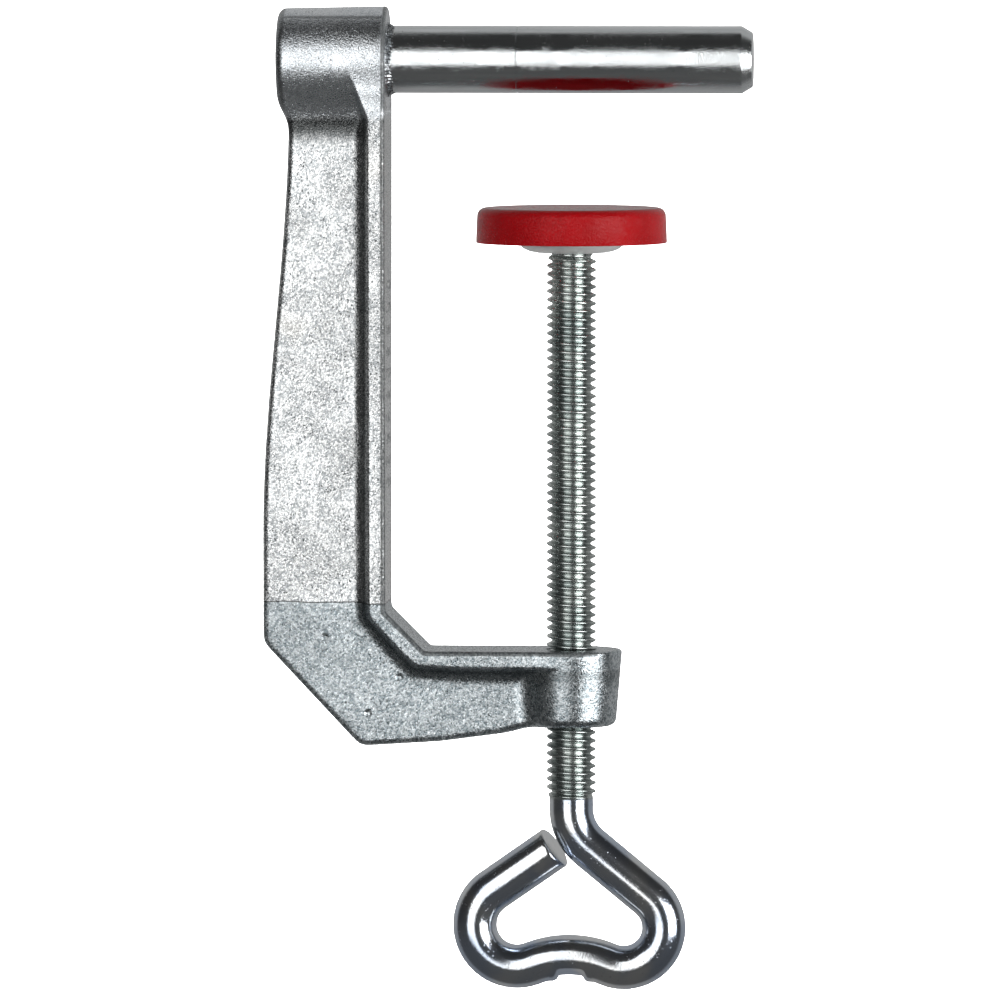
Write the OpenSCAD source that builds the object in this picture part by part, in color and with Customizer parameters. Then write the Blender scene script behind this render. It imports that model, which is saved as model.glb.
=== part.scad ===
// Table clamp with a 60 mm jaw: a cast C-frame, a steel support pin at its top,
// and a bent-wire spindle that carries a swivelling pressure pad.
// Origin: the point where the spindle's axis meets the support pin's axis.
// +X runs out along the support pin, away from the frame. +Z runs up the spindle.
// All sizes are in millimetres.

/* [Jaw] */
// Distance from the spindle's axis to the frame's inner face
throat = 21.8; // [18:0.2:30]
// Depth of the lower arm's top face under the support pin's axis
jaw_depth = 70; // [64:1:90]
// Depth of the pad's top face under the support pin's axis, as the clamp is set
pad_depth = 17.5; // [12.5:0.2:19.1]

/* [Support pin] */
// Diameter of the support pin
pin_d = 8; // [6:0.5:9]
// How far the pin's tip reaches past the spindle's axis
pin_tip = 21.5; // [15:0.5:30]
// Length of the pin that is held inside the frame's head
pin_seat = 11.2; // [8:0.2:12]
// Length along the pin of the chamfer at its tip
pin_chamfer = 1.25; // [0.5:0.05:2]
// Width of the fine turned ring on the pin
ring_w = 0.12; // [0.1:0.01:0.3]

/* [Frame casting] */
// Thickness of the web
web_t = 5.2; // [4:0.1:7]
// Thickness of the flange that faces into the jaw
flange_t = 2; // [1.5:0.1:3]
// Width of the flange at the head
flange_w_top = 12.4; // [11:0.1:12.5]
// Width of the flange at the lower arm
flange_w_bottom = 10.9; // [10:0.1:11.9]
// Depth of the spine from its inner face to its back, under the head
spine_top = 11.7; // [10:0.1:13]
// Depth of the spine from its inner face to its back, above the corner
spine_bottom = 14.8; // [13.5:0.1:18]
// Length of the head along the support pin
head_len = 13; // [12.5:0.1:16]
// Diameter of the head at the inner face, where it is largest
head_d = 12.6; // [12.6:0.1:14]
// Diameter of the spindle boss at its top
boss_d = 12.1; // [12:0.1:14]
// Height of the spindle boss
boss_h = 9.1; // [8:0.1:12]
// Side of the 45 degree corner between the spine and the lower arm
corner_in = 4.7; // [3:0.1:7]

/* [Spindle] */
// Outer diameter of the thread
thread_d = 5.86; // [5.8:0.01:5.9]
// Distance the spindle moves in one turn
pitch = 1; // [0.75:0.25:1]
// Number of full ridges on the thread
ridges = 64; // [55:1:64]
// Diameter of the plain wire that the thread is rolled on
wire_d = 5.24; // [5:0.02:5.3]
// Diameter of the hole that guides the spindle through the boss
guide_d = 6; // [5.98:0.01:6.04]

/* [Handle] */
// Bend radius where the wire leaves the thread
neck_bend = 6; // [5:0.1:8]
// Angle that the wire turns through there
neck_turn = 50.5; // [45:0.5:55]
// Length of each of the two straight sides of the heart
side_len = 9.2; // [8:0.1:11]
// Bend radius of the lobe that the wire reaches first
lobe_a = 4.8; // [4.6:0.1:5.5]
// Bend radius of the lobe that ends in the wire's cut end
lobe_b = 5; // [4.6:0.1:5.5]
// Bend radius of the dip between the lobes
dip_bend = 12; // [10:0.5:14]

/* [Pressure pad] */
// Diameter of the cap at its rim
cap_d = 22.7; // [22:0.1:26]
// Height of the cap
cap_h = 4.2; // [4.2:0.1:5]
// Thickness of the cap over the plate
cap_t = 1.3; // [1:0.1:1.4]
// Radius of the cap's upper edge
cap_edge = 1.1; // [0.5:0.1:1.2]
// Diameter of the steel plate inside the cap
plate_d = 19.8; // [18:0.1:20]
// Diameter of the ball that the pad tilts on
ball_d = 3.8; // [3.7:0.1:4]

/* [Hidden] */

$fn = 96;
bite = 0.5; // how far a cutter runs past the face that it opens
arc_steps = 6;

// frame
inner_x = -throat;
arm_top = -jaw_depth;
boss_bottom = arm_top - boss_h;
spine_blend = [6, 56]; // depths between which the spine grows from its top to its bottom size
back_x = inner_x - spine_bottom;
corner_out = [11.9, 12.3]; // width and height of the cut across the outer corner
arm_sag = 2.5; // how much deeper the lower arm is at the corner than at the boss
// The arm's underside: distance from the spindle's axis, and depth under the boss's foot
arm_under = [[4.8, -0.1], [7.6, 0.75], [15.5, 1.8]];
head_draft = 0.25;
head_edge = 1;
boss_draft = 0.75;
boss_edge = 0.6;

// support pin
pin_r = pin_d / 2;
tip_r = pin_r - 0.8;
seat_r = pin_r - 0.4; // the end that the casting is poured round is turned down
ring_x = -6.4;
ring_depth = 0.06;
grip_x = inner_x - 7; // middle of the groove that keys the pin into the casting
grip_w = 2;
grip_depth = 0.5;

// pad, from its top face down
pad_z = -pad_depth;
cap_r = cap_d / 2;
cap_draft = 0.13;
plate_r = plate_d / 2;
plate_z = pad_z - cap_t;
disc_t = 2.1;
bead = [0.35, 0.5]; // the cap's snap bead: how far it reaches in, and how high it is
hub_r = 6.2;
hub_flare = 0.3; // how much wider the hub is where it leaves the disc
hub_foot_r = 3.3;
hub_h = 4.1;
hub_z = plate_z - hub_h;
ball_r = ball_d / 2;
ball_drop = 2.55; // from the disc's top face to the ball's centre
ball_z = plate_z - ball_drop;
ball_gap = 0.06;
mouth_r = 1.7;
mouth_depth = 0.85;

// spindle, from its shoulder under the plate down
shoulder_gap = 0.05;
shoulder_z = hub_z - shoulder_gap;
spigot_r = 1.2;
spigot_gap = 0.04; // round the spigot inside the ball
spigot_rise = 0.7; // how far the spigot reaches above the ball's centre
spigot_headroom = 0.1;
spigot_z = ball_z + spigot_rise;
crest_r = thread_d / 2;
thread_depth = 0.6134 * pitch;
root_r = crest_r - thread_depth;
lead_in = 0.9;
neck = 1.2; // plain wire between the thread's end and the first bend
thread_z = shoulder_z - lead_in - (ridges - 0.05) * pitch;
wire_r = wire_d / 2;
bend_z = thread_z - neck;

// The bent wire below the thread. Each piece is a bend's radius and angle, or 0 and the
// length of a straight. A positive angle turns anticlockwise.
dip_turn = 44.2;
lobe_a_turn = -163;
lobe_b_turn = -166.8;
HANDLE = [
    [neck_bend, neck_turn],
    [0, side_len],
    [lobe_a, lobe_a_turn],
    [dip_bend, dip_turn],
    [lobe_b, lobe_b_turn],
    [0, side_len],
];
lap = 0.05; // how far each second piece reaches into its neighbours
swell = 0.01; // how much thicker those neighbours are, so that no two skins coincide

// Points on an arc about c, from angle a to angle b, both ends included
function arc(c, r, a, b, n = arc_steps) =
    [for (i = [0:n]) let (t = a + (b - a) * i / n) c + r * [cos(t), sin(t)]];

// A curve that leaves 0 and reaches 1 level at both ends
function ease(t) = let (u = min(1, max(0, t))) u * u * (3 - 2 * u);

// How far the spine's back stands from the inner face at a depth under the pin
function spine_depth(depth) =
    spine_top + (spine_bottom - spine_top)
        * ease((depth - spine_blend[0]) / (spine_blend[1] - spine_blend[0]));

// The centre of a bend that starts at [x, z, heading]
function bend_centre(at, piece) =
    let (side = at[2] + (piece[1] < 0 ? -90 : 90))
    [at[0], at[1]] + piece[0] * [cos(side), sin(side)];

// Where a wire is after a piece: [x, z, heading]
function after(at, piece) =
    piece[0] == 0
        ? [at[0] + piece[1] * cos(at[2]), at[1] + piece[1] * sin(at[2]), at[2]]
        : let (
            heading = at[2] + piece[1],
            back = heading + (piece[1] < 0 ? 90 : -90)
        )
        [each bend_centre(at, piece) + piece[0] * [cos(back), sin(back)], heading];

// Turns a drawing in X and Y so that it stands in X and Z, centred on Y, t thick
module upright(t) rotate([90, 0, 0]) linear_extrude(t, center = true) children();

// Turns a profile of (radius, distance) pairs about the X axis
module turned_on_x(points) rotate([0, 90, 0]) rotate_extrude() polygon(points);

// Outline of the spine and lower arm, seen from the side
module web_outline() {
    spine_steps = 8;
    spine_end = arm_sag - boss_bottom - corner_out[1];
    polygon([
        [inner_x - bite / 5, 0],
        [inner_x - bite / 5, arm_top + corner_in],
        [inner_x + corner_in, arm_top - bite / 5],
        [0, arm_top - bite / 5],
        [0, boss_bottom + bite],
        for (p = arm_under) [-p[0], boss_bottom - p[1]],
        [back_x + corner_out[0], boss_bottom - arm_sag],
        for (i = [0:spine_steps])
            let (depth = spine_end * (1 - i / spine_steps))
            [inner_x - spine_depth(depth), -depth],
    ]);
}

// Outline of the flange: a strip along the jaw side of the web
module flange_outline() {
    mitre = flange_t * tan(22.5);
    polygon([
        [inner_x, 0],
        [inner_x, arm_top + corner_in],
        [inner_x + corner_in, arm_top],
        [0, arm_top],
        [0, arm_top - flange_t],
        [inner_x + corner_in - mitre, arm_top - flange_t],
        [inner_x - flange_t, arm_top + corner_in - mitre],
        [inner_x - flange_t, 0],
    ]);
}

// The flange narrows from the head to the lower arm
module flange_taper() {
    low = -arm_top + flange_t + bite;
    rotate([90, 0, 90])
        translate([0, 0, back_x])
            linear_extrude(-back_x + bite)
                polygon([
                    [-flange_w_top / 2, 0], [flange_w_top / 2, 0],
                    [flange_w_bottom / 2, -low], [-flange_w_bottom / 2, -low],
                ]);
}

// The head: a round boss along X with a drafted side and rounded edges
module head() {
    outer = inner_x - head_len;
    r = head_d / 2;
    turned_on_x([
        [0, outer],
        each arc([r - head_draft - head_edge, outer + head_edge], head_edge, 270, 360),
        each arc([r - head_edge / 2, inner_x - head_edge / 2], head_edge / 2, 0, 90),
        [0, inner_x],
    ]);
}

// The boss that guides the spindle: an upright drafted cylinder
module boss() {
    r = boss_d / 2;
    foot_r = r - boss_draft;
    rotate_extrude()
        polygon([
            [0, boss_bottom],
            each arc([foot_r - boss_edge, boss_bottom + boss_edge], boss_edge, 270, 360),
            each arc([r - boss_edge, arm_top - boss_edge], boss_edge, 0, 90),
            [0, arm_top],
        ]);
}

// The C-frame: one zinc die casting with a T-shaped section
module frame() {
    color([0.76, 0.77, 0.78])
        difference() {
            union() {
                upright(web_t) web_outline();
                intersection() {
                    upright(head_d + 2) flange_outline();
                    flange_taper();
                }
                head();
                boss();
            }
            pin_body();
            translate([0, 0, boss_bottom - bite])
                cylinder(d = guide_d, h = boss_h + 2 * bite);
        }
}

// The pin's turned shape; the casting is poured round its inner end
module pin_body() {
    turned_on_x([
        [0, inner_x - pin_seat],
        [seat_r, inner_x - pin_seat],
        [seat_r, grip_x - grip_w / 2],
        [seat_r - grip_depth, grip_x - grip_w / 2 + grip_depth],
        [seat_r - grip_depth, grip_x + grip_w / 2 - grip_depth],
        [seat_r, grip_x + grip_w / 2],
        [seat_r, inner_x],
        [pin_r, inner_x],
        [pin_r, ring_x - ring_w / 2],
        [pin_r - ring_depth, ring_x],
        [pin_r, ring_x + ring_w / 2],
        [pin_r, pin_tip - pin_chamfer],
        [tip_r, pin_tip],
        [0, pin_tip],
    ]);
}

// The pin that fits into a tool's mounting hole
module support_pin() {
    color([0.62, 0.64, 0.66]) pin_body();
}

// The threaded length and its spigot: each turn of the thread is one closed ridge
module threaded_rod() {
    flank = pitch * 3 / 8;
    crest = pitch / 16;
    rotate_extrude()
        polygon([
            [0, spigot_z],
            [spigot_r, spigot_z],
            [spigot_r, shoulder_z],
            [root_r, shoulder_z],
            for (i = [0:ridges - 1])
                let (z = shoulder_z - lead_in - i * pitch)
                each [[root_r, z + flank], [crest_r, z + crest],
                      [crest_r, z - crest], [root_r, z - flank]],
            [wire_r, thread_z],
            [wire_r, bend_z - lap],
            [0, bend_z - lap],
        ]);
}

// One piece of the bent wire, r thick, drawn from where the wire is and over at each end
module wire_piece(at, piece, r, over) {
    if (piece[0] == 0)
        translate([at[0], 0, at[1]])
            rotate([0, 90 - at[2], 0])
                translate([0, 0, -over])
                    cylinder(r = r, h = piece[1] + 2 * over);
    else {
        centre = bend_centre(at, piece);
        over_turn = over / piece[0] * 180 / PI;
        first = piece[1] < 0 ? at[2] + 90 + piece[1] : at[2] - 90;
        translate([centre[0], 0, centre[1]])
            rotate([90, 0, 0])
                rotate([0, 0, first - over_turn])
                    rotate_extrude(angle = abs(piece[1]) + 2 * over_turn)
                        translate([piece[0], 0]) circle(r = r);
    }
}

// The wire's pieces end to end, each second one lapped into its neighbours
module bent_wire(at, pieces, i = 0) {
    if (i < len(pieces)) {
        lapped = i % 2 == 1;
        wire_piece(at, pieces[i], lapped ? wire_r : wire_r + swell, lapped ? lap : 0);
        bent_wire(after(at, pieces[i]), pieces, i + 1);
    }
}

// The spindle: one steel wire, rolled with a thread and bent into a heart-shaped handle
module spindle() {
    color([0.66, 0.69, 0.69]) {
        threaded_rod();
        bent_wire([0, bend_z, -90], HANDLE);
    }
}

// The ball end that the pad tilts on; the spindle's spigot turns inside it
module swivel_ball() {
    color([0.7, 0.71, 0.72])
        translate([0, 0, ball_z])
            difference() {
                sphere(r = ball_r);
                translate([0, 0, -2 * ball_r])
                    cylinder(
                        r = spigot_r + spigot_gap,
                        h = 2 * ball_r + spigot_rise + spigot_headroom
                    );
            }
}

// The steel pressure plate: a disc with a domed hub that closes round the ball
module pressure_plate() {
    rim_z = pad_z - cap_h;
    color([0.78, 0.79, 0.79])
        difference() {
            rotate_extrude()
                polygon([
                    [0, plate_z],
                    [plate_r, plate_z],
                    [plate_r, plate_z - disc_t],
                    [hub_r + hub_flare, plate_z - disc_t],
                    [hub_r, rim_z],
                    for (i = [1:arc_steps])
                        let (t = 90 * i / arc_steps)
                        [hub_foot_r + (hub_r - hub_foot_r) * cos(t),
                         rim_z + (hub_z - rim_z) * sin(t)],
                    [0, hub_z],
                ]);
            translate([0, 0, ball_z]) sphere(r = ball_r + ball_gap);
            translate([0, 0, hub_z - bite / 10])
                cylinder(r1 = hub_foot_r - bite, r2 = mouth_r, h = mouth_depth + bite / 10);
        }
}

// The moulded cap that keeps the plate from marking the work
module protective_cap() {
    rim_z = pad_z - cap_h;
    disc_z = plate_z - disc_t;
    top_r = cap_r - cap_draft;
    color([0.72, 0.1, 0.12])
        rotate_extrude()
            polygon([
                [0, pad_z],
                each arc([top_r - cap_edge, pad_z - cap_edge], cap_edge, 90, 0),
                [cap_r, rim_z],
                [plate_r, rim_z],
                [plate_r, disc_z - bead[1]],
                [plate_r - bead[0], disc_z - bead[1] / 2],
                [plate_r, disc_z],
                [plate_r, plate_z],
                [0, plate_z],
            ]);
}

frame();
support_pin();
spindle();
swivel_ball();
pressure_plate();
protective_cap();
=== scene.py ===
import math

import bmesh
import bpy
import numpy as np
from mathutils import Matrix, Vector


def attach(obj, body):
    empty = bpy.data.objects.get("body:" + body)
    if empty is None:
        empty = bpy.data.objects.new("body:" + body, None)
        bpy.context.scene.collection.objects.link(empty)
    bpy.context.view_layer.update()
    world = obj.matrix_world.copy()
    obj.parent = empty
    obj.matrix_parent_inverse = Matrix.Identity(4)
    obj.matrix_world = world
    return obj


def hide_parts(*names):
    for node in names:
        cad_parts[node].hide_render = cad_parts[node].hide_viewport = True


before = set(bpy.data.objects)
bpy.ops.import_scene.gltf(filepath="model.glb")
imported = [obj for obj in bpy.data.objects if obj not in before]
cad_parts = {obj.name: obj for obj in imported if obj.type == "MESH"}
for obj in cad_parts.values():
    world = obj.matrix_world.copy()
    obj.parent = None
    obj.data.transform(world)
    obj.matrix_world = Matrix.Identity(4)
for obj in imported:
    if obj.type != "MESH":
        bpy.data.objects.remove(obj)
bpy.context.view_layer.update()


# ---------------------------------------------------------------------------
# The frame: one zinc alloy die casting with a T-shaped section, a round head
# that holds the pin and a boss tapped for the spindle. It comes from the mould
# with drafted walls, rounded edges and a fine parting line across the spine.
MM = 0.001
INNER_X = -21.8
ARM_Z = -70.0
HEAD_LEN = 13.0
HEAD_R = 6.3
HEAD_DRAFT = 0.25
BOSS_R = 6.05
BOSS_DRAFT = 0.75
BOSS_H = 9.1
HEAD_COVE = 7.5
BOSS_COVE = 3.4
WEB = 2.6
FLANGE_TOP = 6.22
FLANGE_DRAFT = 0.77
FLANGE_LEN = 66.0
FLANGE_EDGE = 0.45
FLANGE_COVE = 1.7
FLANGE_LEAN = 0.35
CORNER_SUM = -87.1
PARTING_Z = -64.35
MARKS_TOP = -25.5
MARKS_END = -51.5
MARK_STEP = 2.6
SEAT_END = -33.0
SEAT_R = 3.61
TAP_R = 3.0
ROW = 0.4
INNER_EDGE = 0.4
BACK_EDGE = 0.9
FLASH_R = 3.9
PINCH_Z = -7.5
CORNER_Z = -64.0


def ease(t):
    """Rises from 0 to 1, level at both ends: t squared times (3 - 2t), held outside."""
    u = np.clip(t, 0.0, 1.0)
    return u * u * (3.0 - 2.0 * u)


def soft_max(a, b, k):
    """The larger of a and b, with a fillet of size k where they are nearly equal."""
    k = np.maximum(k, 1e-6)
    h = np.maximum(k - np.abs(a - b), 0.0) / k
    return np.maximum(a, b) + h * h * k * 0.25


def rounded(d, span, e_in, e_out):
    """How far rounded edges cut in at distance d along a span: a quarter circle at each end."""
    cut_in = np.maximum(e_in - d, 0.0)
    cut_out = np.maximum(e_out - (span - d), 0.0)
    return (
        e_in - np.sqrt(np.maximum(e_in**2 - cut_in**2, 0.0))
        + e_out - np.sqrt(np.maximum(e_out**2 - cut_out**2, 0.0))
    )


def new_piece(name, grid, body, node, sharp):
    """A mesh from a grid of points in millimetres, (rows, columns, 3).

    Neighbouring points form quads, the last column joins the first, and rows
    that shrink to a point or a line are closed by merging.
    """
    rows, cols = grid.shape[:2]
    index = np.arange(rows * cols).reshape(rows, cols)
    after = np.roll(index, -1, axis=1)
    faces = np.stack([index[:-1], after[:-1], after[1:], index[1:]], axis=-1).reshape(-1, 4)
    points = grid.reshape(-1, 3) * MM
    a, b, c, d = (points[faces[:, i]] for i in range(4))
    volume = np.sum(np.cross(a, b) * c) + np.sum(np.cross(a, c) * d)
    if volume < 0:
        faces = faces[:, ::-1]
    mesh = bpy.data.meshes.new(name)
    mesh.from_pydata(points.tolist(), [], faces.tolist())
    work = bmesh.new()
    work.from_mesh(mesh)
    bmesh.ops.remove_doubles(work, verts=work.verts, dist=2e-7)
    bmesh.ops.dissolve_degenerate(work, edges=work.edges, dist=1e-7)
    work.to_mesh(mesh)
    work.free()
    mesh.shade_smooth()
    mesh.set_sharp_from_angle(angle=math.radians(sharp))
    piece = bpy.data.objects.new(name, mesh)
    bpy.context.scene.collection.objects.link(piece)
    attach(piece, body)
    if node:
        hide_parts(node)
    return piece


def round_boss(r, off, fillet):
    """Half thickness at a distance off a round boss's axis.

    The boss's own circle, then an arc that is tangent to it and to the web, then nothing.
    """
    off = np.abs(off)
    reach = np.sqrt((r + fillet) ** 2 - (WEB + fillet) ** 2)
    crown = np.sqrt(np.maximum(r**2 - off**2, 0.0))
    cove = WEB + fillet - np.sqrt(np.maximum(fillet**2 - (reach - off) ** 2, 0.0))
    return np.where(off < reach * r / (r + fillet), crown, np.where(off < reach, cove, 0.0))


def section_columns(span, top, thick, e_in, e_out):
    """Half of a T-shaped section from its inner wall to its back.

    Columns run up the inner wall, round its edge, over the flange, down the
    flange's rear wall, round the fillet, over the web, round the back edge and
    down the back wall. Returns the distance from the inner wall, the half
    thickness there, and how far up a wall each column is.
    """
    arc = np.linspace(0.0, np.pi / 2, 7)
    one = np.ones_like(span)
    e2, fillet = FLANGE_EDGE, FLANGE_COVE
    foot = thick + FLANGE_LEAN
    dist, half, wall = [], [], []

    def add(d, y, w=1.0):
        dist.append(d)
        half.append(y)
        wall.append(w)

    for w in np.linspace(0.0, 1.0, 12):
        add(0.0 * one, top - e_in, w)
    for a in arc[1:]:
        add(e_in * (1 - np.cos(a)), top - e_in * (1 - np.sin(a)))
    for w in (0.33, 0.67):
        add(e_in + (thick - e2 - e_in) * w, top)
    for a in arc:
        add(thick - e2 + e2 * np.sin(a), top - e2 * (1 - np.cos(a)))
    low = np.minimum(WEB + fillet, top - e2)
    for w in np.linspace(0.0, 1.0, 6)[1:]:
        add(thick + FLANGE_LEAN * w, (top - e2) * (1 - w) + low * w)
    for a in np.linspace(0.0, np.pi / 2, 12)[1:]:
        add(foot + fillet * (1 - np.cos(a)), low - (low - WEB) * np.sin(a))
    for w in np.linspace(0.0, 1.0, 22)[1:]:
        add(foot + fillet + (span - e_out - foot - fillet) * w, WEB * one)
    for a in arc[1:]:
        add(span - e_out * (1 - np.sin(a)), WEB - e_out * (1 - np.cos(a)))
    for w in np.linspace(1.0, 0.0, 7)[1:]:
        add(span, WEB - e_out, w)
    return np.stack(dist, 1), np.stack(half, 1), np.array(wall)[None, :]


def casting_rows():
    """The inner and outer end of every section line through the spine, corner and arm.

    Straight runs between matched corners, sampled every ROW millimetres, and
    then eased by a running mean so that the outline's corners are rounded.
    """
    inner = [(INNER_X, 0), (INNER_X, -5.0), (INNER_X, PINCH_Z), (INNER_X, -50)]
    outer = [(-34.8, 0), (-34.75, -5.0), (-33.55, PINCH_Z), (-36.3, -50)]
    inner += [(INNER_X, CORNER_Z), (INNER_X, -65.3), (-17.1, ARM_Z), (-12.5, ARM_Z)]
    outer += [(-36.6, -67.2), (-36.6, -69.2), (-25.0, -81.55), (-15.5, -80.95)]
    inner += [(-7.6, ARM_Z), (-4.8, ARM_Z), (0, ARM_Z)]
    outer += [(-7.6, -79.9), (-4.8, -79.15), (0, ARM_Z - BOSS_H)]
    inner, outer = np.array(inner, float), np.array(outer, float)
    steps = np.linalg.norm(np.diff(outer, axis=0), axis=1)
    keys = np.concatenate([[0.0], np.cumsum(steps)])
    s = np.linspace(0.0, keys[-1], int(keys[-1] / ROW) + 1)
    ends = [np.stack([np.interp(s, keys, p[:, i]) for i in (0, 1)], 1) for p in (inner, outer)]
    spine = (ends[0][:, 1] < PINCH_Z) & (ends[0][:, 1] > CORNER_Z)
    depth = -ends[1][:, 1]
    back = INNER_X - 11.7 - 3.1 * ease((depth - 6.0) / 50.0)
    ends[1][spine, 0] = back[spine]
    for end in ends:
        for _ in range(5):
            end[1:-1] = (end[:-2] + 2 * end[1:-1] + end[2:]) / 4
    return ends


def casting_grid():
    """The whole casting as one ring of points per section line.

    Head: turned about the pin's axis. Spine, corner and arm: a T section, with
    the head's and the boss's round shapes laid over it by a soft maximum. Boss:
    turned about the spindle's axis. The first and last rings shrink to a line.
    """
    inner, outer = casting_rows()
    line = outer - inner
    span = np.linalg.norm(line, axis=1)
    depth = -inner[:, 1] + np.maximum(inner[:, 0] - INNER_X, 0.0) * 0.4
    top = FLANGE_TOP - FLANGE_DRAFT * ease(depth / FLANGE_LEN) - 0.95 * ease((5.6 - depth) / 4.2)
    thick = 2.15 + 0.41 * np.maximum(6.9 - depth, 0.0)
    in_head = ease((inner[:, 1] + 6.0) / 4.0)
    e_in = np.full_like(span, INNER_EDGE)
    e_out = BACK_EDGE + 0.1 * in_head
    dist, half, wall = section_columns(span, top, thick, e_in, e_out)
    along = dist / span[:, None]
    x = inner[:, :1] + along * line[:, :1]
    z = inner[:, 1:] + along * line[:, 1:]
    cut = rounded(dist, span[:, None], e_in[:, None], e_out[:, None])
    cut = np.where(wall < 1, np.where(along > 0.5, e_out[:, None], e_in[:, None]), cut)

    head = round_boss(HEAD_R - HEAD_DRAFT * dist / HEAD_LEN, z, HEAD_COVE) - cut
    half = soft_max(half, head, np.clip((head - WEB) * 0.8, 0.0, 1.2) * ease(-z / 2.5))
    boss = round_boss(BOSS_R - BOSS_DRAFT * dist / BOSS_H, x, BOSS_COVE) - cut
    boss = boss * (inner[:, 1:] < -66)
    half = soft_max(half, boss, np.clip((boss - WEB) * 0.8, 0.0, 1.2) * ease(-x / 3.0))
    body = np.stack([x, half * wall, z], axis=-1)

    c, w = dist[0], wall[0]
    turn = np.linspace(0.0, np.pi / 2, 32)[:-1, None]
    cap = (HEAD_R - HEAD_DRAFT * c / HEAD_LEN - cut[0])[None, :]
    upper = np.stack([
        np.broadcast_to(INNER_X - c, (31, len(c))),
        cap * np.sin(turn) * w,
        cap * np.cos(turn) * np.ones_like(c),
    ], axis=-1)
    c = dist[-1]
    foot = (BOSS_R - BOSS_DRAFT * c / BOSS_H - cut[-1])[None, :]
    turn = turn[::-1]
    end = np.stack([
        foot * np.cos(turn) * np.ones_like(c),
        foot * np.sin(turn) * w,
        np.broadcast_to(ARM_Z - c, (31, len(c))),
    ], axis=-1)
    front = np.concatenate([upper, body, end])

    x, y, z = (front[..., i] for i in range(3))
    marks = np.abs(((z - MARKS_TOP) / MARK_STEP) % 1.0 - 0.5)
    marks = ease((0.24 - marks) / 0.1) * ease((2.8 - y) / 0.5)
    marks *= (z < MARKS_TOP) & (z > MARKS_END) & (wall[0] < 1) & (x > INNER_X - 0.2)
    front[..., 0] += 0.16 * marks
    rear = front[:, -2:0:-1].copy()
    front[..., 1] *= -1
    return np.concatenate([front, rear], axis=1)


def flash_collar():
    """Rough flash round the pin: a thin cone whose edge wanders with three sine waves."""
    turn = np.linspace(0.0, 2.0 * np.pi, 288, endpoint=False)[None, :]
    u = np.linspace(0.0, 1.0, 17)[:, None]
    wander = 0.3 * np.sin(3 * turn + 1.1) + 0.2 * np.sin(7 * turn + 0.4) + 0.12 * np.sin(17 * turn)
    reach = 1.1 + 0.45 * wander
    rough = 0.14 * np.sin(29 * turn + 23 * u) * np.sin(31 * turn - 27 * u + 0.7) * np.sin(np.pi * u)
    r = FLASH_R + (0.85 + 0.2 * wander) * (1 - u) ** 1.8 + rough
    x = INNER_X - 0.3 + (reach + 0.3) * u
    ring = np.stack([x, r * np.cos(turn), r * np.sin(turn)], axis=-1)
    hole = np.broadcast_arrays(x, FLASH_R * np.cos(turn), FLASH_R * np.sin(turn))
    inside = np.stack(hole, axis=-1)
    return np.concatenate([ring, inside[::-1], ring[:1]])


casting = new_piece("frame_casting", casting_grid(), "frame", "frame", sharp=60)


def bore(piece, radius, start, end):
    """Cuts a round hole from one point to another, both in millimetres."""
    start, end = Vector(start) * MM, Vector(end) * MM
    bpy.ops.mesh.primitive_cylinder_add(vertices=96, radius=radius * MM, depth=(end - start).length)
    cutter = bpy.context.object
    cutter.location = (start + end) / 2
    cutter.rotation_euler = (end - start).to_track_quat("Z", "Y").to_euler()
    cut = piece.modifiers.new("bore", "BOOLEAN")
    cut.operation = "DIFFERENCE"
    cut.solver = "EXACT"
    cut.object = cutter
    with bpy.context.temp_override(object=piece, active_object=piece, selected_objects=[piece]):
        bpy.ops.object.modifier_apply(modifier=cut.name)
    bpy.data.objects.remove(cutter, do_unlink=True)


bore(casting, SEAT_R, (SEAT_END, 0, 0), (-20.0, 0, 0))
bore(casting, TAP_R, (0, 0, -82.0), (0, 0, -68.0))
casting.data.set_sharp_from_angle(angle=math.radians(60))

collar = new_piece("pin_flash", flash_collar(), "frame", None, sharp=60)


class Wire:
    """A shader socket that can be added, multiplied and so on; the nodes are made behind it."""

    def __init__(self, shader, socket):
        self.shader = shader
        self.socket = socket

    def _math(self, operation, *others):
        return self.shader.node("ShaderNodeMath", {"operation": operation}, self, *others)

    def __add__(self, other):
        return self._math("ADD", other)

    def __radd__(self, other):
        return self._math("ADD", other)

    def __sub__(self, other):
        return self._math("SUBTRACT", other)

    def __rsub__(self, other):
        return self.shader.node("ShaderNodeMath", {"operation": "SUBTRACT"}, other, self)

    def __mul__(self, other):
        return self._math("MULTIPLY", other)

    def __rmul__(self, other):
        return self._math("MULTIPLY", other)

    def __truediv__(self, other):
        return self._math("DIVIDE", other)

    def __gt__(self, other):
        return self._math("GREATER_THAN", other)

    def __mod__(self, other):
        return self._math("FLOORED_MODULO", other)

    def absolute(self):
        return self._math("ABSOLUTE")

    def maximum(self, other):
        return self._math("MAXIMUM", other)

    def ramp(self, low, high):
        """0 at low, 1 at high, eased and held outside; low may be the larger."""
        return self.shader.node(
            "ShaderNodeMapRange", {"interpolation_type": "SMOOTHSTEP"}, self, low, high
        )


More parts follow.
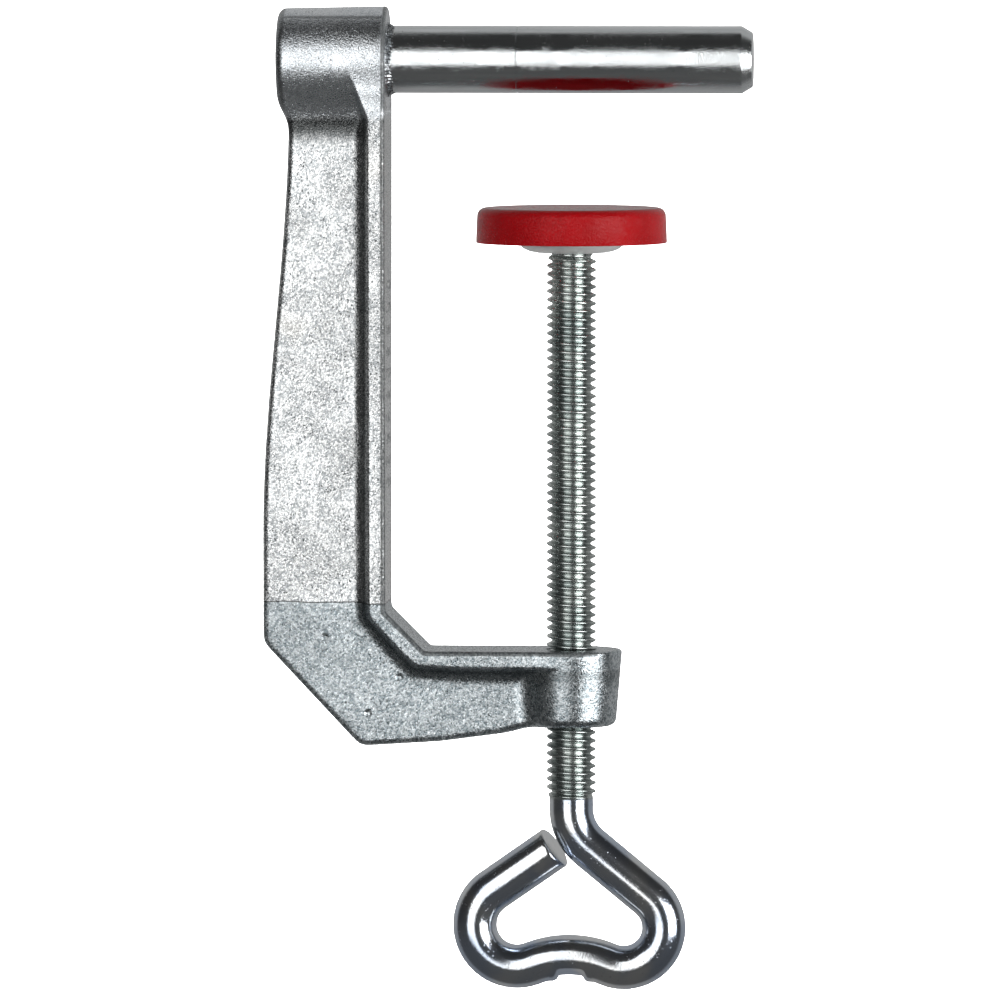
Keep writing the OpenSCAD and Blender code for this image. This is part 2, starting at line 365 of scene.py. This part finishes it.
class Shader:
    """One material's nodes, or the world's. node() makes any node; principled() finishes it."""

    def __init__(self, name, owner=None):
        self.material = owner or bpy.data.materials.new(name)
        self.material.use_nodes = True
        self.tree = self.material.node_tree
        self.tree.nodes.clear()
        coords = self.tree.nodes.new("ShaderNodeTexCoord")
        self.place = Wire(self, coords.outputs["Generated" if owner else "Object"])
        split = self.node("ShaderNodeSeparateXYZ", {}, self.place, out=None)
        self.x, self.y, self.z = (Wire(self, split.outputs[i]) for i in range(3))

    def node(self, kind, settings, *values, out=0, **named):
        """A node of this kind, with its settings, then its sockets in order or by name."""
        made = self.tree.nodes.new(kind)
        for key, value in settings.items():
            setattr(made, key, value)
        for key, value in [*enumerate(values), *named.items()]:
            self.feed(made.inputs[key], value)
        return made if out is None else Wire(self, made.outputs[out])

    def feed(self, socket, value):
        """Links a wire to a socket, or sets the socket's value; a colour is made opaque."""
        if isinstance(value, Wire):
            self.tree.links.new(value.socket, socket)
        else:
            socket.default_value = (*value, 1.0) if socket.type == "RGBA" else value

    def noise(self, scale, detail=3.0, rough=0.55, warp=0.0, at=None):
        return self.node(
            "ShaderNodeTexNoise", {}, Vector=at or self.place, Scale=scale,
            Detail=detail, Roughness=rough, Distortion=warp,
        )

    def cells(self, scale, feature="F1", out=0, at=None):
        return self.node(
            "ShaderNodeTexVoronoi", {"feature": feature}, Vector=at or self.place, Scale=scale, out=out
        )

    def mix(self, factor, a, b):
        """A colour between a and b."""
        made = self.node("ShaderNodeMix", {"data_type": "RGBA"}, factor, out=None)
        self.feed(made.inputs[6], a)
        self.feed(made.inputs[7], b)
        return Wire(self, made.outputs[2])

    def stretched(self, x, y, z):
        """Object coordinates multiplied along each axis."""
        return self.node("ShaderNodeVectorMath", {"operation": "MULTIPLY"}, self.place, (x, y, z))

    def bump(self, height, distance, strength=1.0):
        return self.node("ShaderNodeBump", {}, Strength=strength, Distance=distance, Height=height)

    def principled(self, **values):
        made = self.node("ShaderNodeBsdfPrincipled", {}, out=None)
        for key, value in values.items():
            self.feed(made.inputs[key.replace("_", " ")], value)
        out = self.tree.nodes.new("ShaderNodeOutputMaterial")
        self.tree.links.new(made.outputs[0], out.inputs[0])
        return self.material


def cast_zinc():
    """Bright zinc skin, mottled by its crystals; duller with flow marks under the parting line, where
    its darker colour is also painted shade.

    Dirt lies round the raised marks and on the rough flash at the pin. Painted shade
    darkens the trimmed inner edge and the head's rim, where there is rough trim flash
    as well, the fillet behind the flange, the web under the head, the head's back edge
    and a line across its top, which is a painted reflection. The inner face is darker,
    more towards its top. The head is painted lighter and bluer to lift its dark reflections.
    """
    s = Shader("cast_zinc")
    waver = (s.noise(260.0, 1.0) - 0.5) * 0.0004
    edge = (s.z + waver) * 1000.0 - PARTING_Z
    below = edge.ramp(0.05, -0.05)
    x, deep, z = s.x * 1000.0, s.y.absolute() * 1000.0, s.z * 1000.0
    near = (INNER_X - x).maximum(ARM_Z - z).maximum((x + z - CORNER_SUM) * -0.7071)
    top = FLANGE_TOP - FLANGE_DRAFT * z.ramp(0.0, -FLANGE_LEN)
    head = z.ramp(-7.6, -6.2)
    boss = x.ramp(-8.0, -6.0) * z.ramp(-69.5, -70.5)

    coarse = s.noise(700.0, 3.0, 0.6)
    fine = s.noise(5200.0, 2.0, 0.6).ramp(0.3, 0.7)
    swirl = s.noise(900.0, 3.0, 0.6, 1.6)
    grain = s.node("ShaderNodeRGBToBW", {}, s.cells(4600.0, out=1))
    patch = s.noise(150.0, 3.0, 0.6).ramp(0.35, 0.65)
    specks = s.cells(2300.0).ramp(0.26, 0.1) * s.noise(330.0, 2.0).ramp(0.44, 0.6)
    crystals = (coarse * 0.35 + grain * 0.65).ramp(0.25, 0.7)
    bright = s.mix(crystals, (0.36, 0.38, 0.39), (0.82, 0.83, 0.83))
    bright = s.mix(s.noise(90.0, 2.0).ramp(0.58, 0.72) * 0.3, bright, (0.74, 0.7, 0.64))
    dull = s.mix((swirl * 0.5 + grain * 0.5).ramp(0.28, 0.72), (0.22, 0.26, 0.28), (0.66, 0.7, 0.72))
    # Below the parting line the skin is duller with flow marks; its darker colour is also painted shade
    # for the lower casting catching less light.
    color = s.mix(below, bright, dull)
    # Painted light: the head's colour is mixed towards a pale blue so that its dark reflection bands
    # read lighter.
    color = s.mix(head * 0.55, color, (0.84, 0.89, 0.94))
    color = s.mix(specks * (0.8 - 0.2 * head), color, (0.05, 0.06, 0.07))
    color = s.mix(edge.absolute().ramp(0.12, 0.04) * 0.85, color, (0.06, 0.06, 0.06))

    # Painted shade: a dark broken line along the inner edge's rounding and the head's rim, where the
    # lamps would put a highlight; there is rough trim flash there as well.
    trim_flash_and_shade = (deep - top).ramp(-0.62, -0.4) * near.ramp(0.62, 0.4) * near.ramp(-0.3, 0.0)
    trim_flash_and_shade = trim_flash_and_shade * z.ramp(-6.0, -7.0)
    off = s.node("ShaderNodeVectorMath", {"operation": "LENGTH"}, s.stretched(0.0, 1.0, 1.0), out=1)
    rim = (off * 1000.0 - HEAD_R).ramp(-0.55, -0.3) * near.ramp(0.55, 0.35) * z.ramp(-6.6, -5.6)
    trim_flash_and_shade = trim_flash_and_shade.maximum(rim) * fine.ramp(-0.3, 0.3)
    # Painted shade in the fillet behind the flange.
    behind = near.ramp(2.0, 2.5) * near.ramp(4.9, 2.7) * z.ramp(-6.5, -9.0)
    # Painted shade: a dark line along the head's back edge.
    back_edge_shade = near.ramp(11.9, 12.3) * near.ramp(12.98, 12.9) * head
    # Painted reflection: a dark line across the head's top.
    top_painted_reflection = (z - 5.05).absolute().ramp(0.24, 0.06) * near.ramp(0.3, 0.5) * near.ramp(12.9, 12.3)
    # Painted shade on the web just under the head.
    under_head_shade = z.ramp(-10.8, -8.2) * z.ramp(-6.4, -7.4) * near.ramp(2.6, 3.4)
    bars = (((z - MARKS_TOP) / MARK_STEP) % 1.0 - 0.5).absolute()
    bars = bars.ramp(0.26, 0.2) * deep.ramp(2.8, 2.3) * near.ramp(0.2, 0.0)
    bars = bars * (z > MARKS_END) * (MARKS_TOP - z).ramp(0.0, 0.1)
    bars = bars * s.noise(1100.0, 2.0).ramp(0.4, 0.5)
    flash = near.ramp(-0.02, -0.1) * (z > -6.0) * s.noise(1900.0, 3.0, 0.7).ramp(0.42, 0.56)
    # Dirt on the raised marks and the flash, and the painted shades, darken the colour together.
    dirt_and_shade = (trim_flash_and_shade * 0.85).maximum(behind * 0.4).maximum(bars * 0.75).maximum(flash * 0.9)
    # The inner face is darkened, more towards its top.
    inner_face = near.ramp(0.05, 0.0) * (0.1 + 0.2 * z.ramp(-40.0, -12.0))
    dirt_and_shade = dirt_and_shade.maximum(under_head_shade * 0.85).maximum(inner_face)
    dirt_and_shade = dirt_and_shade.maximum(back_edge_shade * 0.6).maximum(top_painted_reflection * 0.5)
    color = s.mix(dirt_and_shade, color, (0.04, 0.045, 0.045))

    rough = 0.15 + 0.1 * fine + 0.08 * grain + 0.04 * below + 0.3 * flash + 0.03 * head + 0.5 * bars
    pits = 0.0
    for px, pz in ((-29.2, -68.6), (-24.0, -77.6), (-20.3, -73.3)):
        away = s.node(
            "ShaderNodeVectorMath", {"operation": "DISTANCE"}, s.place,
            (px * MM, -WEB * MM, pz * MM), out=1,
        )
        pits = away.ramp(0.0006, 0.0001) + pits
    height = fine * (0.4 + 0.6 * patch) + grain * 0.35 + coarse * 1.1 + swirl * below * 2.2 - pits * 5.0
    height = (height - specks * 1.4) * (1.0 - 0.55 * boss - 0.15 * head) - below * 1.2
    return s.principled(
        Base_Color=color, Metallic=1.0 - (trim_flash_and_shade * 0.8).maximum(bars * 0.9), Roughness=rough,
        Normal=s.bump(height, 0.00003),
    )


zinc = cast_zinc()
for piece in (casting, collar):
    piece.data.materials.append(zinc)


# ---------------------------------------------------------------------------
# The support pin: 8 mm steel bar, turned, chamfered and polished, then zinc
# plated. Its inner end is turned down to 7.2 mm and held fast in the head.
PIN_R = 4.0
TIP_X = 21.5
PIN = [
    (0.0, SEAT_END + 0.02), (SEAT_R - 0.01, SEAT_END + 0.02), (SEAT_R - 0.01, INNER_X + 0.1),
    (PIN_R, INNER_X + 0.1), (PIN_R, -6.5),
    (PIN_R - 0.06, -6.44), (PIN_R - 0.06, -6.38),
    (PIN_R, -6.32), (PIN_R, 20.15), (PIN_R - 0.03, 20.25), (3.25, 21.44), (3.16, 21.5), (0.0, TIP_X),
]


def turned(profile, axis, count):
    """A grid turned about X or Z from (radius, distance) pairs, one row for each pair."""
    turn = np.linspace(0.0, 2.0 * np.pi, count, endpoint=False)
    r, h = (np.asarray(v, float)[:, None] for v in zip(*profile))
    along = np.broadcast_to(h, (len(profile), count))
    across = (r * np.cos(turn), r * np.sin(turn))
    return np.stack((along, *across) if axis == "x" else (*across, along), axis=-1)


pin = new_piece("pin_turned", turned(PIN, "x", 160), "frame", "support_pin", sharp=12)


def pin_steel():
    """Polished plating over fine lengthwise and round tool marks, with a few dull specks."""
    s = Shader("pin_steel")
    along = s.noise(60.0, 3.0, at=s.stretched(1.0, 18.0, 18.0))
    round_marks = s.noise(1.0, 2.0, 0.6, at=s.stretched(5200.0, 60.0, 60.0))
    specks = s.cells(1700.0).ramp(0.2, 0.08) * s.noise(300.0, 2.0).ramp(0.42, 0.6)
    tip = s.x.ramp(0.0200, 0.0204)
    color = s.mix(along.ramp(0.3, 0.7), (0.62, 0.65, 0.66), (0.72, 0.74, 0.75))
    color = s.mix(specks * 0.6, color, (0.24, 0.25, 0.26))
    skin = s.noise(6500.0, 2.0, 0.6).ramp(0.35, 0.65) * s.noise(260.0, 3.0, 0.6).ramp(0.25, 0.6)
    rough = 0.08 + 0.05 * along + 0.18 * specks + 0.1 * tip + 0.08 * skin.ramp(0.6, 0.9)
    height = round_marks * 0.6 + specks * -1.5 + skin * 3.4
    return s.principled(
        Base_Color=color, Metallic=1.0, Roughness=rough, Normal=s.bump(height, 0.0000025)
    )


pin.data.materials.append(pin_steel())


# ---------------------------------------------------------------------------
# The spindle: one 5.2 mm steel wire, rolled with an M6 x 1 thread and bent cold
# into a heart-shaped handle whose cut end stands free. Zinc plated.
PITCH = 1.0
CREST_R = 2.93
ROOT_R = CREST_R - 0.6134 * PITCH
WIRE_R = 2.62
SHOULDER_Z = -22.95
THREAD_Z = -87.8
BEND_Z = -89.0
HAND = -1.0
FIRST_CREST = -23.66
BENDS = ((6.0, 50.5), (0.0, 9.2), (4.8, -163.0), (12.0, 44.2), (5.0, -166.8), (0.0, 9.2))


def handle_path(step):
    """Points and headings along the wire: arcs and straights end to end from the thread's foot."""
    at, heading, points = np.array([0.0, BEND_Z]), math.radians(-90.0), []
    for radius, amount in BENDS:
        turn = math.radians(amount)
        length = amount if radius == 0 else radius * abs(turn)
        curve = 0.0 if radius == 0 else math.copysign(1.0 / radius, turn)
        count = max(4, int(length / step))
        for i in range(1, count + 1):
            s = length * i / count
            if curve == 0:
                move = s * np.array([math.cos(heading), math.sin(heading)])
            else:
                move = np.array([
                    math.sin(heading + curve * s) - math.sin(heading),
                    math.cos(heading) - math.cos(heading + curve * s),
                ]) / curve
            points.append((*(at + move), heading + curve * s))
        at, heading = np.array(points[-1][:2]), points[-1][2]
    return np.array(points)


def spindle_grid():
    """The wire as one tube of rings: spigot, chamfered end, thread, plain wire, handle.

    On the thread a ring's radius follows a 60 degree profile whose phase turns
    once per pitch, so the ridges climb as a true helix.
    """
    cols = 56
    turn = np.linspace(0.0, 2.0 * np.pi, cols, endpoint=False)[None, :]
    z = np.arange(SHOULDER_Z, THREAD_Z - 0.4, -PITCH / 14)[:, None]
    phase = ((z - FIRST_CREST) / PITCH - HAND * (turn + np.pi / 2) / (2 * np.pi)) % 1.0
    away = np.abs(phase - np.round(phase))
    ridge = ease((0.44 - away) / 0.37)
    start = ease((SHOULDER_Z - z) / 0.9)
    finish = ease((z - THREAD_Z) / 0.9)
    crest = ROOT_R + 0.2 + (CREST_R - ROOT_R - 0.2) * start
    crest = WIRE_R + (crest - WIRE_R) * finish
    root = WIRE_R + (ROOT_R - WIRE_R) * finish
    r = root + (crest - root) * ridge
    thread = np.stack([r * np.cos(turn), r * np.sin(turn), z + 0 * turn], axis=-1)

    top = turned([(0.0, -20.65), (1.2, -20.65), (1.2, SHOULDER_Z), (ROOT_R, SHOULDER_Z)], "z", cols)
    path = handle_path(0.32)
    path = np.concatenate([[(0.0, BEND_Z, math.radians(-90.0))], path])
    away_x, away_z = -np.sin(path[:, 2:]), np.cos(path[:, 2:])
    # the heading starts straight down, where the side that a ring counts from is +X
    across, deep = np.cos(turn), np.sin(turn)
    under = (path[:, 1:2] < BEND_Z - 12) * ease((across - 0.3) / 0.5)
    pinch = ease((2.15 - np.abs(path[:, :1])) / 0.5)
    lip = np.exp(-(((np.abs(path[:, :1]) - 2.7) / 0.45) ** 2))
    radius = WIRE_R + under * (0.14 * lip - 0.42 * pinch)
    tube = np.stack([
        path[:, :1] + radius * across * away_x,
        radius * deep,
        path[:, 1:2] + radius * across * away_z,
    ], axis=-1)
    last = path[-1]
    ahead = np.array([math.cos(last[2]), 0.0, math.sin(last[2])])
    centre = np.array([last[0], 0.0, last[1]])
    ring = tube[-1] - centre
    face = ((0.975, 0.09), (0.9, 0.14), (0.8, 0.13), (0.0, 0.05))
    ends = [centre + ring * k + ahead * d for k, d in face]
    tail = np.concatenate([tube, np.stack(ends)])
    # the cut face leans by 12 degrees
    lean = ease((np.arange(len(tail)) - len(tube) + 9) / 8)[:, None, None]
    tail += ahead * (tail[..., 1:2] - 0.7 * WIRE_R) * 0.2 * lean
    return np.concatenate([top, thread, tail])


spindle = new_piece("spindle_wire", spindle_grid(), "spindle", "spindle", sharp=50)


def spindle_steel():
    """Zinc plating: satin and slightly green in the rolled thread, bright and bluish on the wire."""
    s = Shader("spindle_steel")
    threaded = s.z.ramp(THREAD_Z * MM - 0.0003, THREAD_Z * MM + 0.0003)
    patchy = s.noise(300.0, 3.0)
    drawn = s.noise(3600.0, 2.0, 0.6)
    tint = s.noise(120.0, 2.0, 0.5, 0.6)
    specks = s.cells(2400.0).ramp(0.24, 0.1) * s.noise(500.0, 3.0).ramp(0.46, 0.58)
    wire = s.mix(tint.ramp(0.35, 0.65), (0.44, 0.5, 0.6), (0.66, 0.67, 0.67))
    thread = s.mix(patchy.ramp(0.35, 0.7), (0.38, 0.42, 0.41), (0.58, 0.61, 0.59))
    color = s.mix(threaded, wire, thread)
    color = s.mix(specks * 0.55, color, (0.12, 0.13, 0.16))
    rough = 0.13 + 0.08 * drawn + 0.1 * threaded + 0.12 * specks
    height = drawn * 0.7 + specks * -0.8 + patchy * threaded
    return s.principled(
        Base_Color=color, Metallic=1.0, Roughness=rough, Normal=s.bump(height, 0.000013)
    )


plated = spindle_steel()
spindle.data.materials.append(plated)


# ---------------------------------------------------------------------------
# The swivel ball: the spindle's own ball-shaped end, closed in by the pressure
# plate. Turned steel under the same plating as the spindle.
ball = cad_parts["swivel_ball"]
ball.data.materials.clear()
ball.data.materials.append(plated)


# ---------------------------------------------------------------------------
# The pressure plate: a light steel disc with a domed hub, pressed over the ball
# so that it swivels. Only the hub shows under the cap.
PLATE_Z = -18.8
PLATE_R = 9.9
PLATE_T = 2.1
RIM_Z = -21.7
HUB_Z = -22.9
HUB_R = 6.2
FOOT_R = 3.3
PLATE = [(0.0, PLATE_Z), (PLATE_R, PLATE_Z), (PLATE_R, PLATE_Z - PLATE_T)]
PLATE += [(HUB_R + 0.3, PLATE_Z - PLATE_T), (HUB_R, RIM_Z)]
PLATE += [
    (FOOT_R + (HUB_R - FOOT_R) * math.cos(a), RIM_Z + (HUB_Z - RIM_Z) * math.sin(a))
    for a in np.linspace(0.05, math.pi / 2, 14)
]
BALL_Z = -21.35
SOCKET_R = 1.95
PLATE.append((FOOT_R - 0.1, HUB_Z))
PLATE += [
    (SOCKET_R * math.cos(a), BALL_Z + SOCKET_R * math.sin(a))
    for a in np.linspace(-0.41, math.pi / 2, 14)
]
plate = new_piece("plate_hub", turned(PLATE, "z", 96), "pad", "pressure_plate", sharp=40)


def plate_steel():
    """Satin plated steel with fine turning marks round its axis."""
    s = Shader("plate_steel")
    patchy = s.noise(350.0, 3.0)
    flat = s.node("ShaderNodeVectorMath", {"operation": "LENGTH"}, s.stretched(1.0, 1.0, 0.0), out=1)
    rings = s.node("ShaderNodeMath", {"operation": "SINE"}, flat * 26000.0)
    color = s.mix(patchy.ramp(0.3, 0.7), (0.86, 0.87, 0.86), (0.95, 0.95, 0.94))
    return s.principled(
        Base_Color=color, Metallic=0.75, Roughness=0.4 + 0.16 * patchy,
        Normal=s.bump(rings * 0.2 + patchy, 0.000008),
    )


plate.data.materials.append(plate_steel())


# ---------------------------------------------------------------------------
# The protective cap: red moulded plastic, snapped over the plate so that the
# clamp doesn't mark the work. A flat top, a rounded edge and a square rim.
CAP_R = 11.34
TOP_Z = -17.5
EDGE = 1.0
FLAT_R = CAP_R - 0.13 - EDGE
CAP = [(0.0, TOP_Z), (4.0, TOP_Z - 0.004), (FLAT_R - 0.6, TOP_Z - 0.02)]
CAP += [
    (FLAT_R + EDGE * math.sin(a), TOP_Z - 0.02 - EDGE + EDGE * math.cos(a))
    for a in np.linspace(0.0, math.pi / 2, 12)
]
CAP += [(CAP_R, RIM_Z + 0.12), (CAP_R - 0.04, RIM_Z + 0.03), (CAP_R - 0.12, RIM_Z)]
CAP += [(PLATE_R + 0.08, RIM_Z), (PLATE_R, RIM_Z + 0.08), (PLATE_R, RIM_Z + 0.3)]
CAP += [(PLATE_R - 0.3, RIM_Z + 0.55), (PLATE_R, RIM_Z + 0.8), (PLATE_R, PLATE_Z), (0.0, PLATE_Z)]
cap = new_piece("cap_moulding", turned(CAP, "z", 160), "pad", "protective_cap", sharp=50)


def cap_plastic():
    """Red plastic with a fine orange-peel skin and light scuffs near the edge."""
    s = Shader("cap_plastic")
    peel = s.noise(4200.0, 2.0, 0.55).ramp(0.35, 0.65)
    broad = s.noise(180.0, 2.0)
    scuffs = s.noise(700.0, 4.0, 0.7, 1.0).ramp(0.64, 0.8)
    color = s.mix(broad.ramp(0.3, 0.7), (0.34, 0.004, 0.006), (0.41, 0.005, 0.008))
    color = s.mix(scuffs * 0.25, color, (0.45, 0.06, 0.05))
    return s.principled(
        Base_Color=color, Roughness=0.12 + 0.08 * peel + 0.15 * scuffs, Specular_IOR_Level=0.15,
        Normal=s.bump(peel + scuffs * 0.2, 0.000038),
    )


cap.data.materials.append(cap_plastic())


# ---------------------------------------------------------------------------
# The studio: a pale floor that sweeps up behind the clamp, two soft boxes in
# front to the left and right, and a spot that whitens the backdrop.
FLOOR_Z = -0.175


def backdrop():
    """A pale sweep: flat floor, a quarter round and a wall, the same across its width."""
    arc = np.linspace(0.05, 1.0, 16) * np.pi / 2
    depth = np.concatenate([np.linspace(-2.2, 1.0, 30), 1.0 + 1.4 * np.sin(arc), [2.4]])
    rise = np.concatenate([np.zeros(30), 1.4 - 1.4 * np.cos(arc), [3.0]])
    across = np.linspace(-3.0, 3.0, 9)
    height = FLOOR_Z + rise[:, None]
    grid = np.stack(np.broadcast_arrays(across[None, :], depth[:, None], height), axis=-1)
    rows, cols = grid.shape[:2]
    index = np.arange(rows * cols).reshape(rows, cols)
    faces = np.stack([index[:-1, :-1], index[:-1, 1:], index[1:, 1:], index[1:, :-1]], axis=-1)
    mesh = bpy.data.meshes.new("floor")
    mesh.from_pydata(grid.reshape(-1, 3).tolist(), [], faces.reshape(-1, 4).tolist())
    mesh.shade_smooth()
    floor = bpy.data.objects.new("floor", mesh)
    bpy.context.scene.collection.objects.link(floor)
    s = Shader("floor_paper")
    tone = s.mix(s.noise(3.0, 2.0), (0.9, 0.9, 0.9), (0.93, 0.93, 0.93))
    floor.data.materials.append(s.principled(Base_Color=tone, Roughness=0.9))
    return floor


def soft_light(name, azimuth, elevation, distance, width, height, radiance, aim=(0.0, 0.0, -0.05)):
    """An area light at an azimuth from the front, + to the right, facing the aim point."""
    a, e = math.radians(azimuth), math.radians(elevation)
    way = Vector((math.sin(a) * math.cos(e), -math.cos(a) * math.cos(e), math.sin(e)))
    lamp = bpy.data.lights.new(name, "AREA")
    lamp.shape = "RECTANGLE"
    lamp.size, lamp.size_y = width, height
    lamp.energy = radiance * math.pi * width * height
    light = bpy.data.objects.new(name, lamp)
    light.location = Vector(aim) + way * distance
    light.rotation_euler = way.to_track_quat("Z", "Y").to_euler()
    light.visible_camera = False
    bpy.context.scene.collection.objects.link(light)


def aimed_spot(name, place, aim, angle, blend, energy):
    """A spot for the backdrop alone, soft at its rim and not mirrored in the metal."""
    lamp = bpy.data.lights.new(name, "SPOT")
    lamp.energy = energy
    lamp.spot_size = math.radians(angle)
    lamp.spot_blend = blend
    lamp.shadow_soft_size = 0.08
    light = bpy.data.objects.new(name, lamp)
    light.location = place
    light.rotation_euler = (Vector(place) - Vector(aim)).to_track_quat("Z", "Y").to_euler()
    light.visible_glossy = False
    light.visible_camera = False
    bpy.context.scene.collection.objects.link(light)


floor = backdrop()
floor.visible_glossy = False
soft_light("box_left", -19.0, 8.0, 0.8, 0.52, 0.70, 2.4)
soft_light("box_right", 51.0, 1.0, 0.8, 0.56, 0.42, 8.0)
aimed_spot("wall_spot", (0.0, 0.15, 0.85), (0.0, 0.95, -0.17), 66.0, 0.5, 420.0)


def studio_world():
    """Dim in front and dimmest overhead there; mid grey behind, a little darker low down."""
    world = bpy.data.worlds.new("studio")
    s = Shader("studio", world)
    behind = s.y.ramp(0.08, 0.4)
    above = s.z.ramp(-0.5, 0.2)
    front = 0.1 - 0.06 * above
    back = 0.32 + 0.14 * above
    level = front + (back - front) * behind
    light = s.node("ShaderNodeBackground", {}, Color=level, out=None)
    out = s.tree.nodes.new("ShaderNodeOutputWorld")
    s.tree.links.new(light.outputs[0], out.inputs[0])
    return world


scene = bpy.context.scene
scene.world = studio_world()
scene.view_settings.view_transform = "Standard"

AIM = Vector((-0.0085, 0.0, -0.0523))
AZIMUTH, ELEVATION, DISTANCE = math.radians(3.8), math.radians(3.6), 1.3
away = Vector((
    math.sin(AZIMUTH) * math.cos(ELEVATION),
    -math.cos(AZIMUTH) * math.cos(ELEVATION),
    math.sin(ELEVATION),
))
lens = bpy.data.cameras.new("camera")
lens.lens = 394.0
lens.sensor_width = 36.0
lens.clip_start = 0.05
lens.dof.use_dof = False
camera = bpy.data.objects.new("camera", lens)
camera.location = AIM + away * DISTANCE
camera.rotation_euler = away.to_track_quat("Z", "Y").to_euler()
scene.collection.objects.link(camera)
scene.camera = camera
